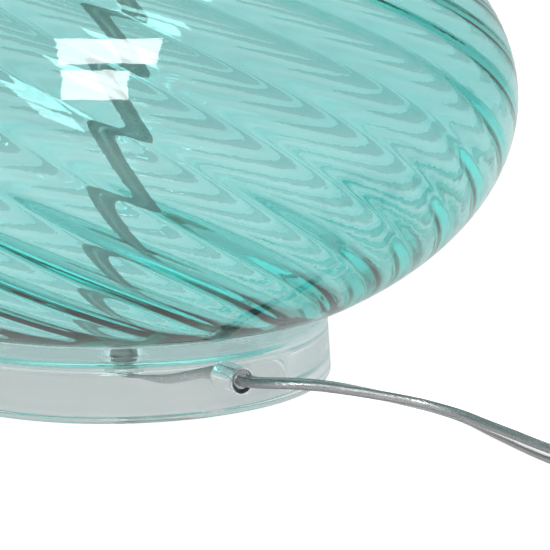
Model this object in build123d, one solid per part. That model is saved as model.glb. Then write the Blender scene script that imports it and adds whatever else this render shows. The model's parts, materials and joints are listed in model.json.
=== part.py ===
from build123d import *
import os
from math import asin, cos, pi, radians, sin, sqrt, tan

# A table lamp: a hollow clear base, a squashed-globe body of blown glass, a centre pipe that holds the
# stack together, a lamp holder with a turn switch, a harp, a fabric drum shade, and a flat two-core lead.
# Millimetres, +Z up, +X along the harp's plane, -Y to the front. The origin is the centre of the face
# that the base rests on.

# Clear base
base_height = 25.4
base_ledge = 0.5  # of the base's top, outside the heel of the glass
base_draft = 1.5
base_wall = 13.5
base_foot_round = 2.5
base_top_round = 0.6
cavity_round = 5.0
top_plate = 7.6

# Cord bushing, through the side wall of the base
bushing_angle = 31.2  # from the front, towards +X
bushing_height = 11.2
bushing_wall = 0.65
bushing_slack = 0.2
bushing_stand_out = 0.8
bushing_stand_in = 1.0

# Glass body
body_radius = 140.0
body_half_height = 88.1
body_equator = 74.0  # above the top of the base
body_spans = 24  # of the smooth curve that follows the body's ellipse
glass_wall = 3.2
glass_floor = 5.0
heel_radius = 73.0
heel_height = 2.0
floor_hole_radius = 8.0
mouth_radius = 20.0
lip_drop = 2.1  # the mouth is ground flat this far below the closed ellipse
gasket = 0.7
gasket_width = 9.0
gasket_inset = 0.6
cushion = 1.0
cushion_overhang = 1.0

# Centre pipe and what clamps on it
pipe_wall = 1.4
pipe_slack = 0.35
pipe_below_nut = 1.6
pipe_into_holder = 6.0
thread_clearance = 0.05
pass_clearance = 0.25
washer_radius = 6.6
washer_thickness = 1.2
nut_across_flats = 12.0
nut_height = 4.0

# Cap and neck above the glass
cap_overhang = 2.6
cap_flange = 9.0
cap_rise = 7.5
cap_top_radius = 12.0
cap_sheet = 1.2
neck_height = 20.0
neck_radius = 9.0
neck_waist_radius = 6.8

# Harp saddle, ferrules and harp
holder_room = 6.5  # between the lamp holder and each ferrule
saddle_width = 12.0
saddle_sheet = 1.6
saddle_arm_width = 8.0
saddle_arm_height = 13.8
stud_radius = 1.9
stud_length = 11.0
leg_gap = 0.2
harp_wire_radius = 2.0
harp_leg = 26.0
finger_room = 24.0  # between the bulb and the harp
harp_shoulder_low = 68.0  # above the foot of the leg
harp_shoulder_high = 118.0
harp_height = 180.0
harp_crown_half = 22.0
harp_foot_bend = 18.0
harp_shoulder_bend = 60.0
harp_crown_bend = 28.0
boss_radius = 6.5
boss_height = 2.0
top_stud_radius = 3.1
top_stud_length = 12.0
ferrule_radius = 3.5
ferrule_length = 18.0
ferrule_clearance = 0.1

# Lamp holder
hub_radius = 7.5
hub_height = 8.0
cup_flare = 8.0
cup_height = 26.0
sheet = 0.8
shell_sheet = 0.6
shell_overlap = 5.0
shell_height = 45.0
liner_sheet = 0.7
liner_inset = 1.5
slip = 0.1
holder_gap = 0.3
switch_block_height = 22.0
switch_block_lift = 1.0
terminal_recess = 2.9
terminal_flat_height = 10.0
terminal_screw_radius = 2.4
terminal_screw_height = 1.8
terminal_screw_lift = 4.6
screw_shell_sheet = 0.5
screw_shell_slack = 0.5
screw_shell_height = 23.0
screw_shell_eye = 6.0
contact_radius = 3.5
contact_height = 1.2
set_screw_radius = 1.5

# Turn switch
shaft_radius = 1.6
shaft_depth = 3.0  # where the shaft ends inside the block, in front of the axis
shaft_hole_radius = 2.4
shaft_lift = 12.2  # above the underside of the switch block
knob_radius = 6.5
knob_length = 11.0
knob_gap = 3.0
knob_flutes = 14
flute_radius = 0.8

# Lamp bulb, E26
cap_thread_radius = 13.1
cap_skirt_height = 20.0
tip_radius = 4.5
tip_height = 1.7
tip_cone = 4.0
tip_gap = 0.3
cap_wall = 0.7
bulb_radius = 30.0
bulb_centre = 77.7  # above the tip
bulb_glass = 0.8
bulb_neck_depth = 12.0
bulb_blend_angle = -42.0

# Shade
shade_bottom_radius = 190.0
shade_top_radius = 165.0
shade_height = 230.0
liner_thickness = 0.6
fabric_thickness = 0.7
ring_wire = 1.5
ring_inset = 2.5
spider_drop = 11.5
spider_wire = 1.6
spider_arms = 3
spider_eye_radius = 12.0
spider_eye_height = 1.6

# Finial
finial_gap = 0.3
finial_collar_radius = 7.0
finial_collar_height = 3.2
finial_neck_radius = 4.6
finial_neck_height = 3.0
finial_ball_radius = 11.0
bore_clearance = 0.1

# Flexible lead, drawn as a round tube of the flat cord's width
lead_radius = 3.2
lead_lift = 0.7  # the lead lies in the upper part of the bushing
floor_gap = 0.1
bend_share = 0.45  # of the shorter run, taken by each arc

# Coil of spare lead, and the plug
coil_from_exit = (151.1, -69.7)
coil_mean_radius = 35.2
coil_width = 16.0
coil_height = 13.6
coil_round = 3.0
plug_length = 33.0
plug_width = 25.0
plug_height = 16.5
plug_round = 4.0
plug_from_coil = (44.4, 52.0)
blade_length = 16.5
blade_width = 6.35
blade_thickness = 1.5
blade_spacing = 12.7

# Radii that follow from what fits inside what
bushing_bore = lead_radius + lead_lift + bushing_slack
bushing_radius = bushing_bore + bushing_wall
pipe_bore_radius = lead_radius + pipe_slack
pipe_radius = pipe_bore_radius + pipe_wall
base_top_radius = heel_radius + base_ledge
base_foot_radius = base_top_radius + base_draft
cavity_radius = base_top_radius - base_wall
screw_shell_radius = cap_thread_radius + screw_shell_slack + screw_shell_sheet
block_radius = screw_shell_radius + holder_gap
liner_radius = block_radius + holder_gap + liner_sheet
shell_radius = liner_radius + slip + shell_sheet
cup_radius = shell_radius + slip + sheet
leg_offset = cup_radius + holder_room + ferrule_radius
harp_shoulder_half = bulb_radius + finger_room + harp_wire_radius

# Heights that follow from the stack, from the base up
plate_underside = base_height - top_plate
washer_bottom = plate_underside - washer_thickness
nut_bottom = washer_bottom - nut_height
pipe_bottom = nut_bottom - pipe_below_nut
glass_bottom = base_height + gasket
equator_z = base_height + body_equator
lip_z = equator_z + body_half_height - lip_drop
cap_bottom = lip_z + cushion
neck_bottom = cap_bottom + cap_sheet + cap_rise
saddle_bottom = neck_bottom + neck_height
hub_bottom = saddle_bottom + saddle_sheet
pipe_top = hub_bottom + pipe_into_holder
arm_top = hub_bottom + saddle_arm_height
leg_bottom = arm_top + stud_length + leg_gap
crown_z = leg_bottom + harp_height
boss_top = crown_z + harp_wire_radius + boss_height
cup_top = hub_bottom + cup_height
shell_bottom = cup_top - shell_overlap
block_bottom = hub_bottom + hub_height + cup_flare + switch_block_lift
block_top = block_bottom + switch_block_height
tip_z = block_top + contact_height + tip_gap
shaft_z = block_bottom + shaft_lift
eye_top = boss_top + spider_eye_height
shade_top = boss_top + spider_drop + ring_inset
shade_bottom = shade_top - shade_height


def ring(outer, inner, bottom, height):
    """A plain annular cylinder."""
    at = Pos(0, 0, bottom + height / 2)
    return at * (Cylinder(outer, height) - Cylinder(inner, height * 2))


def rod(radius, bottom, height, x=0, y=0):
    """A plain upright cylinder."""
    return Pos(x, y, bottom + height / 2) * Cylinder(radius, height)


def turned(outline):
    """A solid of revolution about +Z from a closed outline in (radius, height)."""
    return revolve(Plane.XZ * make_face(outline), Axis.Z)


def radial_rod(radius, angle, near, far, height):
    """A level cylinder from one distance to another, at an angle from the front."""
    outward = Vector(sin(radians(angle)), -cos(radians(angle)), 0)
    start = Plane(origin=outward * near + Vector(0, 0, height), z_dir=outward)
    return start * (Pos(0, 0, (far - near) / 2) * Cylinder(radius, far - near))


def arc_radii(points):
    """The largest tangent arc at each inner point that its two runs allow."""
    steps = [Vector(*b) - Vector(*a) for a, b in zip(points, points[1:])]
    return [
        bend_share * min(a.length, b.length) / tan(radians(a.get_angle(b)) / 2)
        for a, b in zip(steps, steps[1:])
    ]


def tube(points, radius, radii):
    """A round tube of straight runs joined by tangent arcs, and its centreline's length."""
    path = FilletPolyline(*points, radius=radii)
    section = Plane(origin=path @ 0, z_dir=path % 0) * Circle(radius)
    return sweep(section, path=path), path.length


# ---- Clear base, bushing and the clamp below it ----


def clear_base():
    """A thick clear dish, open underneath, drilled for the pipe and for the cord."""
    outline = FilletPolyline(
        (0, 0),
        (base_foot_radius, 0),
        (base_top_radius, base_height),
        (0, base_height),
        radius=[0, base_foot_round, base_top_round, 0],
        close=True,
    )
    cavity = FilletPolyline(
        (0, -top_plate),
        (cavity_radius, -top_plate),
        (cavity_radius, plate_underside),
        (0, plate_underside),
        radius=[0, 0, cavity_round, 0],
        close=True,
    )
    pipe_hole = rod(pipe_radius + pass_clearance, 0, base_height * 2)
    side_hole = radial_rod(
        bushing_radius, bushing_angle, cavity_radius / 2, base_foot_radius * 2, bushing_height
    )
    return turned(outline) - turned(cavity) - pipe_hole - side_hole


def wall_radius(height):
    """The radius of the base's outer face at a height."""
    return base_foot_radius - (base_foot_radius - base_top_radius) * height / base_height


bushing_end = wall_radius(bushing_height) + bushing_stand_out
lead_height = bushing_height + lead_lift


def cord_bushing():
    start = cavity_radius - bushing_stand_in
    outside = radial_rod(bushing_radius, bushing_angle, start, bushing_end, bushing_height)
    return outside - radial_rod(bushing_bore, bushing_angle, start / 2, bushing_end * 2, bushing_height)


def lower_nut():
    flats = extrude(RegularPolygon(nut_across_flats / 2, 6, major_radius=False), nut_height)
    bore = Cylinder(pipe_radius + thread_clearance, nut_height * 4)
    return Pos(0, 0, nut_bottom) * (flats - bore)


# ---- Glass body ----


def body_radius_at(height):
    """The radius of the body's outer ellipse at a height."""
    return body_radius * sqrt(1 - ((height - equator_z) / body_half_height) ** 2)


def body_arc(radius, half_height, low, high):
    """A smooth curve along the body's ellipse, from a lower to a higher height."""
    first = asin((low - equator_z) / half_height)
    last = asin((high - equator_z) / half_height)
    turns = [first + (last - first) * span / body_spans for span in range(body_spans + 1)]
    points = [(radius * cos(turn), equator_z + half_height * sin(turn)) for turn in turns]
    ends = [(-radius * sin(turn), half_height * cos(turn)) for turn in (first, last)]
    return Spline(*points, tangents=ends)


def glass_body():
    """A blown shell with a thick floor, a drilled floor hole and a ground mouth."""
    inner_radius = body_radius - glass_wall
    inner_half = body_half_height - glass_wall
    floor_top = glass_bottom + glass_floor
    mouth_z = equator_z + inner_half * sqrt(1 - (mouth_radius / inner_radius) ** 2)
    outer = body_arc(body_radius, body_half_height, glass_bottom + heel_height, lip_z)
    inner = body_arc(inner_radius, inner_half, floor_top, mouth_z)
    heel = TangentArc(outer @ 0, (heel_radius, glass_bottom), tangent=(outer % 0) * -1)
    foot = Polyline(
        (heel_radius, glass_bottom),
        (floor_hole_radius, glass_bottom),
        (floor_hole_radius, floor_top),
        inner @ 0,
    )
    lip = Polyline(inner @ 1, (mouth_radius, lip_z), outer @ 1)
    return turned([outer, heel, foot, inner, lip])


# ---- Cap, neck and harp saddle ----


def vase_cap():
    """A spun metal cap: a flat flange on the glass, and a dome up to the neck."""
    cap_radius = body_radius_at(lip_z) + cap_overhang
    outer = [
        (cap_radius, cap_bottom),
        (cap_radius, cap_bottom + cap_sheet),
        (cap_radius - cap_flange, cap_bottom + cap_sheet),
        (cap_top_radius, neck_bottom),
        (pipe_radius + pass_clearance, neck_bottom),
    ]
    inner = [
        (pipe_radius + pass_clearance, neck_bottom - cap_sheet),
        (cap_top_radius - cap_sheet / 2, neck_bottom - cap_sheet),
        (cap_radius - cap_flange - cap_sheet, cap_bottom),
    ]
    rounds = [0, 0, 5, 4, 0, 0, 3, 4]
    return turned(FilletPolyline(*outer, *inner, radius=rounds, close=True))


def neck_spool():
    """A turned spool that the pipe passes through."""
    bore = pipe_radius + pass_clearance
    rim = neck_height / 8
    waist = ThreePointArc(
        (neck_radius, saddle_bottom - rim),
        (neck_waist_radius, (neck_bottom + saddle_bottom) / 2),
        (neck_radius, neck_bottom + rim),
    )
    back = Polyline(
        (neck_radius, neck_bottom + rim),
        (neck_radius, neck_bottom),
        (bore, neck_bottom),
        (bore, saddle_bottom),
        (neck_radius, saddle_bottom),
        (neck_radius, saddle_bottom - rim),
    )
    return turned([waist, back])


def harp_saddle():
    """A bent strip with a round stud on each arm."""
    strip = Box(leg_offset * 2 + saddle_sheet, saddle_width, saddle_sheet)
    saddle = Pos(0, 0, saddle_bottom + saddle_sheet / 2) * strip
    saddle -= rod(pipe_radius + pass_clearance, saddle_bottom - 1, saddle_sheet + 2)
    arm_height = arm_top - saddle_bottom
    for side in (-1, 1):
        arm = Box(saddle_sheet, saddle_arm_width, arm_height)
        saddle += Pos(side * leg_offset, 0, saddle_bottom + arm_height / 2) * arm
        saddle += rod(stud_radius, arm_top - 1, stud_length + 1, x=side * leg_offset)
    return saddle


def harp():
    """One bent wire with a shoulder and a threaded stud on its crown."""
    right = [
        (leg_offset, 0, leg_bottom),
        (leg_offset, 0, leg_bottom + harp_leg),
        (harp_shoulder_half, 0, leg_bottom + harp_shoulder_low),
        (harp_shoulder_half, 0, leg_bottom + harp_shoulder_high),
        (harp_crown_half, 0, crown_z),
    ]
    left = [(-x, y, z) for x, y, z in reversed(right)]
    bends = [harp_foot_bend, harp_shoulder_bend, harp_shoulder_bend, harp_crown_bend]
    wire, _ = tube(right + left, harp_wire_radius, bends + bends[::-1])
    boss = rod(boss_radius, crown_z, boss_top - crown_z)
    return wire + boss + rod(top_stud_radius, boss_top - 1, top_stud_length + 1)


def harp_ferrule(side):
    bore = harp_wire_radius + ferrule_clearance
    return Pos(side * leg_offset, 0, 0) * ring(ferrule_radius, bore, arm_top, ferrule_length)


# ---- Lamp holder ----


def holder_cup():
    """The lower cup of the lamp holder, with the hub that screws on the pipe."""
    hub_top = hub_bottom + hub_height
    shoulder = hub_top + cup_flare
    bore = pipe_radius + thread_clearance
    outline = FilletPolyline(
        (bore, hub_bottom),
        (hub_radius, hub_bottom),
        (hub_radius, hub_top - sheet),
        (cup_radius, shoulder - sheet),
        (cup_radius, cup_top),
        (cup_radius - sheet, cup_top),
        (cup_radius - sheet, shoulder),
        (hub_radius, hub_top),
        (bore, hub_top),
        radius=[0, 0.6, 3, 5, 0, 0, 4, 2, 0],
        close=True,
    )
    thread = radial_rod(set_screw_radius, 180, 0, hub_radius * 2, hub_bottom + hub_height / 2)
    return turned(outline) - thread


def hub_set_screw():
    start = pipe_radius + thread_clearance
    return radial_rod(set_screw_radius, 180, start, hub_radius, hub_bottom + hub_height / 2)


def shaft_hole():
    return radial_rod(shaft_hole_radius, 0, block_radius, cup_radius * 2, shaft_z)


def holder_shell():
    return ring(shell_radius, shell_radius - shell_sheet, shell_bottom, shell_height) - shaft_hole()


def holder_liner():
    """The paper sleeve that insulates the shell."""
    height = shell_height - liner_inset * 2
    return ring(liner_radius, liner_radius - liner_sheet, shell_bottom + liner_inset, height) - shaft_hole()


def switch_block():
    """The moulded block that holds the switch and the terminals."""
    block = rod(block_radius, block_bottom, switch_block_height)
    for side in (-1, 1):
        recess = Box(block_radius, block_radius * 2, terminal_flat_height)
        middle = side * (block_radius * 1.5 - terminal_recess)
        block -= Pos(middle, 0, block_bottom + terminal_flat_height / 2) * recess
    bore = radial_rod(shaft_radius + bore_clearance, 0, shaft_depth - slip, block_radius * 2, shaft_z)
    return block - bore


def terminal_screws():
    """Both terminal screws, one on each side of the block."""
    height = block_bottom + terminal_screw_lift
    near = block_radius - terminal_recess
    far = near + terminal_screw_height
    return [radial_rod(terminal_screw_radius, side * 90, near, far, height) for side in (-1, 1)]


def screw_shell():
    """The threaded metal cup that the bulb screws into."""
    wall = ring(screw_shell_radius, screw_shell_radius - screw_shell_sheet, block_top, screw_shell_height)
    return wall + ring(screw_shell_radius, screw_shell_eye, block_top, screw_shell_sheet)


def switch_knob():
    """A fluted knob on the end of the switch shaft."""
    start = cup_radius + knob_gap
    knob = radial_rod(knob_radius, 0, start, start + knob_length, shaft_z)
    knob = chamfer(knob.edges().filter_by(GeomType.CIRCLE), flute_radius)
    for turn in range(knob_flutes):
        angle = 2 * pi * turn / knob_flutes
        x, z = knob_radius * sin(angle), knob_radius * cos(angle)
        knob -= Pos(x, 0, z) * radial_rod(flute_radius, 0, start - 1, start + knob_length + 1, shaft_z)
    return knob - radial_rod(shaft_radius, 0, 0, start + knob_length / 2, shaft_z)


def switch_shaft():
    return radial_rod(shaft_radius, 0, shaft_depth, cup_radius + knob_gap + knob_length / 2, shaft_z)


# ---- Bulb ----

bulb_cap_bottom = tip_z + tip_height + tip_cone
bulb_cap_top = bulb_cap_bottom + cap_skirt_height


def bulb_cap():
    """The threaded metal cap of the bulb, with its centre contact."""
    inside = cap_thread_radius - cap_wall
    return turned(
        Polyline(
            (0, tip_z),
            (tip_radius, tip_z),
            (tip_radius, tip_z + tip_height),
            (cap_thread_radius, bulb_cap_bottom),
            (cap_thread_radius, bulb_cap_top),
            (inside, bulb_cap_top),
            (inside, bulb_cap_bottom + cap_wall),
            (0, bulb_cap_bottom + cap_wall),
            close=True,
        )
    )


def bulb_form(inset):
    """The bulb's outside, or its inside, as a solid: a neck that flares into a ball."""
    neck = cap_thread_radius - cap_wall - slip - inset
    ball = bulb_radius - inset
    centre = tip_z + bulb_centre
    blend = radians(bulb_blend_angle)
    globe = CenterArc((0, centre), ball, bulb_blend_angle, 90 - bulb_blend_angle)
    flare = Spline(
        (neck, bulb_cap_top),
        globe @ 0,
        tangents=[(0, 1), (-sin(blend), cos(blend))],
    )
    stem = Polyline(
        (0, centre + ball),
        (0, bulb_cap_top - bulb_neck_depth),
        (neck, bulb_cap_top - bulb_neck_depth),
        (neck, bulb_cap_top),
    )
    return turned([globe, stem, flare])


def bulb():
    open_neck = rod(
        cap_thread_radius - cap_wall - slip - bulb_glass,
        bulb_cap_top - bulb_neck_depth * 1.5,
        bulb_neck_depth,
    )
    return bulb_form(0) - bulb_form(bulb_glass) - open_neck


# ---- Shade ----

shade_slope = (shade_bottom_radius - shade_top_radius) / shade_height


def shade_radius_at(height):
    """The outer radius of the fabric at a height."""
    return shade_bottom_radius - shade_slope * (height - shade_bottom)


def shade_wall(inset, thickness):
    """A plain conical wall, its outside a given distance inside the fabric's."""
    low, high = shade_bottom_radius - inset, shade_top_radius - inset
    return turned(
        Polyline(
            (low - thickness, shade_bottom),
            (low, shade_bottom),
            (high, shade_top),
            (high - thickness, shade_top),
            close=True,
        )
    )


def shade_ring(height):
    """A wire hoop just inside the shade's wall, and its centreline's radius."""
    hoop = shade_radius_at(height) - fabric_thickness - liner_thickness - ring_wire - slip
    return Pos(0, 0, height) * Torus(hoop, ring_wire), hoop


def shade_fitter():
    """The top hoop with three arms that drop to an eye on the harp's stud."""
    top_z = shade_top - ring_inset
    fitter, hoop = shade_ring(top_z)
    eye_middle = boss_top + spider_eye_height
    fitter += ring(spider_eye_radius, top_stud_radius + bore_clearance, boss_top, spider_eye_height)
    for arm in range(spider_arms):
        turn = 2 * pi * arm / spider_arms + pi / 2
        inner = Vector(cos(turn), sin(turn), 0) * (spider_eye_radius - spider_wire) + Vector(0, 0, eye_middle)
        outer = Vector(cos(turn), sin(turn), 0) * hoop + Vector(0, 0, top_z)
        along = Plane(origin=inner, z_dir=outer - inner)
        length = (outer - inner).length
        fitter += along * (Pos(0, 0, length / 2) * Cylinder(spider_wire, length))
    return fitter


# ---- Finial ----


def finial():
    """A ball on a collar, bored for the harp's stud."""
    bottom = eye_top + finial_gap
    neck_z = bottom + finial_collar_height
    ball_z = neck_z + finial_neck_height + sqrt(finial_ball_radius**2 - finial_neck_radius**2)
    body = rod(finial_collar_radius, bottom, finial_collar_height)
    body = fillet(body.edges().filter_by(GeomType.CIRCLE), finial_collar_height / 4)
    body += rod(finial_neck_radius, neck_z, finial_neck_height * 2)
    body += Pos(0, 0, ball_z) * Sphere(finial_ball_radius)
    depth = boss_top + top_stud_length + 1 - bottom
    return body - rod(top_stud_radius + bore_clearance, bottom - 1, depth + 1)


# ---- Lead, coil and plug ----

bushing_x, bushing_y = sin(radians(bushing_angle)), -cos(radians(bushing_angle))
floor_z = lead_radius + floor_gap

# Inside: from the bushing down to the floor of the cavity, then up the pipe.
inner_points = [
    (bushing_x * bushing_end, bushing_y * bushing_end, lead_height),
    (bushing_x * 50, bushing_y * 50, lead_height),
    (bushing_x * 28, bushing_y * 28, floor_z + 0.6),
    (0, 0, floor_z),
    (0, 0, block_bottom - 1),
]
inner_bends = [40.0, 40.0, 9.0]

# Outside: from the bushing, round to the right, down to the floor and forwards to the coil.
# Each point after the first gives its distance to the right and back from the bushing's end.
exit_x, exit_y = bushing_x * bushing_end, bushing_y * bushing_end
run_from_exit = [
    (bushing_x * 5, bushing_y * 5, lead_height),
    (6.6, -8.3, 12.6),
    (11.5, -11.0, 13.1),
    (17.0, -12.3, 13.1),
    (27.5, -12.7, 12.1),
    (41.6, -13.0, 9.3),
    (56.1, -14.3, 6.2),
    (61.9, -16.5, 5.0),
    (66.9, -20.2, 4.1),
    (70.8, -25.1, 3.6),
    (74.2, -33.6, floor_z + 0.1),
    (80.1, -48.1, floor_z),
    (87.5, -66.9, floor_z),
    (96.5, -83.2, floor_z),
    (109.1, -97.3, floor_z),
    (126.1, -107.5, floor_z),
    (143.1, -112.6, floor_z),
]
outer_points = [(exit_x, exit_y, lead_height)] + [
    (exit_x + right, exit_y + back, height) for right, back, height in run_from_exit
]

coil_x, coil_y = exit_x + coil_from_exit[0], exit_y + coil_from_exit[1]
plug_x, plug_back_y = coil_x + plug_from_coil[0], coil_y + plug_from_coil[1]

# Tail: from the top of the coil's last turn to the back of the plug.
tail_points = [
    (coil_x + coil_mean_radius + coil_width / 2 - lead_radius, coil_y + 6, 10.2),
    (coil_x + 42.4, coil_y + 18, 9.4),
    (coil_x + 43.6, coil_y + 30, 8.4),
    (plug_x, plug_back_y - 11, plug_height / 2),
    (plug_x, plug_back_y, plug_height / 2),
]


def cord_coil():
    """The closed outer shape of the wound spare cord."""
    section = Pos(coil_mean_radius, coil_height / 2) * RectangleRounded(coil_width, coil_height, coil_round)
    return Pos(coil_x, coil_y, 0) * revolve(Plane.XZ * section, Axis.Z)


def plug_body():
    middle = Pos(plug_x, plug_back_y + plug_length / 2, plug_height / 2)
    body = middle * Box(plug_width, plug_length, plug_height)
    return fillet(body.edges().filter_by(Axis.Y), plug_round)


def plug_blades():
    """Both flat blades of the plug."""
    start = plug_back_y + plug_length
    blade = Box(blade_thickness, blade_length, blade_width)
    return [
        Pos(plug_x + side * blade_spacing / 2, start + blade_length / 2, plug_height / 2) * blade
        for side in (-1, 1)
    ]


def save(name, shape):
    """Write one node, from one solid or from a list of separate solids."""
    solids = shape if isinstance(shape, list) else [shape]
    whole = Compound(children=[s for each in solids for s in each.solids()])
    whole.label = name
    export_step(whole, f"parts/{name}.step")


def cord_tube(name, points, radii):
    """Write a lead's tube, and print its bends and how well its volume follows its length."""
    solid, length = tube(points, lead_radius, radii)
    ratio = solid.volume / (pi * lead_radius**2 * length)
    bends = ", ".join(f"{r:.0f}" for r in radii)
    print(f"{name}: {length:.0f} mm long, volume ratio {ratio:.4f}, bend radii {bends}")
    save(name, solid)
    return solid


os.makedirs("parts", exist_ok=True)

save("clear_base", clear_base())
save("cord_bushing", cord_bushing())
save("lower_washer", ring(washer_radius, pipe_radius + pass_clearance, washer_bottom, washer_thickness))
save("lower_nut", lower_nut())
save("seat_gasket", ring(
    heel_radius - gasket_inset, heel_radius - gasket_inset - gasket_width, base_height, gasket
))
save("glass_body", glass_body())
save("centre_pipe", ring(pipe_radius, pipe_bore_radius, pipe_bottom, pipe_top - pipe_bottom))
save("mouth_cushion", ring(
    body_radius_at(lip_z) - cushion_overhang, mouth_radius + cushion_overhang, lip_z, cushion
))
save("vase_cap", vase_cap())
save("neck_spool", neck_spool())
save("harp_saddle", harp_saddle())
save("harp", harp())
save("harp_ferrule_right", harp_ferrule(1))
save("harp_ferrule_left", harp_ferrule(-1))
save("holder_cup", holder_cup())
save("hub_set_screw", hub_set_screw())
save("holder_shell", holder_shell())
save("holder_liner", holder_liner())
save("switch_block", switch_block())
save("terminal_screws", terminal_screws())
save("screw_shell", screw_shell())
save("centre_contact", rod(contact_radius, block_top, contact_height))
save("switch_shaft", switch_shaft())
save("switch_knob", switch_knob())
save("bulb_cap", bulb_cap())
save("bulb_glass", bulb())
save("shade_fabric", shade_wall(0, fabric_thickness))
save("shade_liner", shade_wall(fabric_thickness, liner_thickness))
save("shade_fitter", shade_fitter())
save("shade_bottom_ring", shade_ring(shade_bottom + ring_inset)[0])
save("finial", finial())
cord_tube("inner_lead", inner_points, inner_bends)
cord_tube("cord_run", outer_points, arc_radii(outer_points))
save("cord_coil", cord_coil())
cord_tube("cord_tail", tail_points, arc_radii(tail_points))
save("plug_body", plug_body())
save("plug_blades", plug_blades())
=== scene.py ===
import json
import math

import bmesh
import bpy
import numpy as np
from mathutils import Matrix, Vector


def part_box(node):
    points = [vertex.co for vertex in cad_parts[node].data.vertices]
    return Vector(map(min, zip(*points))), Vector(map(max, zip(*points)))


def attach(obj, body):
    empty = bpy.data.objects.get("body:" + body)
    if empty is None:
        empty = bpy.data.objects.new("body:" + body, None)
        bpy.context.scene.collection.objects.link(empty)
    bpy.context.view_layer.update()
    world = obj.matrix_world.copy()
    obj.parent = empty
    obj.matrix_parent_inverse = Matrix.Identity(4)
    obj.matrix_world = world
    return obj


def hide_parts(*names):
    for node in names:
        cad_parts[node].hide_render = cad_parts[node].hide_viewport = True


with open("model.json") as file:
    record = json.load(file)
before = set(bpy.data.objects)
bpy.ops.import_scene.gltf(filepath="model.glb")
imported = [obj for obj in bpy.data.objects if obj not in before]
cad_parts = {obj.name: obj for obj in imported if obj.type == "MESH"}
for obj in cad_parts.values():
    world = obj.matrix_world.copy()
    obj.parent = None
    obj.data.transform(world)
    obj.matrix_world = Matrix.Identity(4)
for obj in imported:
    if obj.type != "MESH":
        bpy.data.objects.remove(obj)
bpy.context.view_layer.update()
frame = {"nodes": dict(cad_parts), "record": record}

nodes = frame["nodes"]
scene = bpy.context.scene
print("frame loaded,", len(nodes), "parts")

# helpers: meshes

meshing = {
    "weld": 1e-7,
    "smoothAngle": 35.0,
    "fineAngle": 60.0,  # for ribs, strands and long gentle curves
}


def newPiece(name, data, material, body="lamp"):
    made = bpy.data.objects.new(name, data)
    scene.collection.objects.link(made)
    made.data.materials.append(material)
    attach(made, body)
    return made


def shadeSmooth(mesh, angle=meshing["smoothAngle"]):
    mesh.polygons.foreach_set("use_smooth", [True] * len(mesh.polygons))
    mesh.set_sharp_from_angle(angle=math.radians(angle))


def gridMesh(name, rows, closeRows=False, closeTurns=True, angle=meshing["smoothAngle"], capEnds=False):
    # rows: one array of points per row, all the same length
    rows = np.asarray(rows, float)
    count, turns = rows.shape[0], rows.shape[1]
    index = np.arange(count * turns).reshape(count, turns)
    lower = index if closeRows else index[:-1]
    upper = np.roll(index, -1, axis=0) if closeRows else index[1:]
    if closeTurns:
        faces = np.stack([lower, np.roll(lower, -1, 1), np.roll(upper, -1, 1), upper], -1)
    else:
        faces = np.stack([lower[:, :-1], lower[:, 1:], upper[:, 1:], upper[:, :-1]], -1)
    faces = [tuple(f) for f in faces.reshape(-1, 4).tolist()]
    if capEnds:
        faces += [tuple(index[0][::-1].tolist()), tuple(index[-1].tolist())]
    mesh = bpy.data.meshes.new(name)
    mesh.from_pydata(rows.reshape(-1, 3).tolist(), [], faces)
    work = bmesh.new()
    work.from_mesh(mesh)
    bmesh.ops.remove_doubles(work, verts=work.verts, dist=meshing["weld"])
    bmesh.ops.recalc_face_normals(work, faces=work.faces)
    work.to_mesh(mesh)
    work.free()
    shadeSmooth(mesh, angle)
    return mesh


def roundedOutline(corners, radii, steps=5, closed=True):
    # corners of a flat outline, each swept off by an arc of its own radius
    corners = [np.array(c, float) for c in corners]
    out = []
    for i, (corner, radius) in enumerate(zip(corners, radii)):
        if radius <= 0 or (not closed and i in (0, len(corners) - 1)):
            out.append(corner)
            continue
        before = corners[i - 1] - corner
        after = corners[(i + 1) % len(corners)] - corner
        a, b = before / np.linalg.norm(before), after / np.linalg.norm(after)
        half = math.acos(max(-1, min(1, float(a @ b)))) / 2
        reach = radius / math.tan(half)
        centre = corner + (a + b) / np.linalg.norm(a + b) * radius / math.sin(half)
        first, last = corner + a * reach - centre, corner + b * reach - centre
        sweep = math.pi - 2 * half
        for k in range(steps + 1):
            t = k / steps
            mix = (first * math.sin((1 - t) * sweep) + last * math.sin(t * sweep)) / math.sin(sweep)
            out.append(centre + mix)
    return np.array(out)


def turnAngles(count):
    return np.arange(count) * 2 * math.pi / count


def latheMesh(name, outline, turns=96, closed=True, angle=meshing["smoothAngle"]):
    spin = turnAngles(turns)
    rows = [np.stack([r * np.sin(spin), -r * np.cos(spin), np.full(turns, z)], -1) for r, z in outline]
    return gridMesh(name, rows, closeRows=closed, angle=angle)


# helpers: shader nodes


def addNode(tree, kind, settings=None, sockets=None):
    made = tree.nodes.new(kind)
    for key, value in (settings or {}).items():
        setattr(made, key, value)
    for key, value in (sockets or {}).items():
        made.inputs[key].default_value = value
    return made


def linkOrSet(tree, target, value):
    if isinstance(value, bpy.types.NodeSocket):
        tree.links.new(value, target)
    else:
        target.default_value = value


def calc(tree, operation, *values):
    made = addNode(tree, "ShaderNodeMath", {"operation": operation})
    for target, value in zip(made.inputs, values):
        linkOrSet(tree, target, value)
    return made.outputs[0]


def mapRange(tree, value, low, high, toLow=0.0, toHigh=1.0):
    made = addNode(tree, "ShaderNodeMapRange")
    labels = ("Value", "From Min", "From Max", "To Min", "To Max")
    for label, number in zip(labels, (value, low, high, toLow, toHigh)):
        linkOrSet(tree, made.inputs[label], number)
    return made.outputs["Result"]


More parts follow.
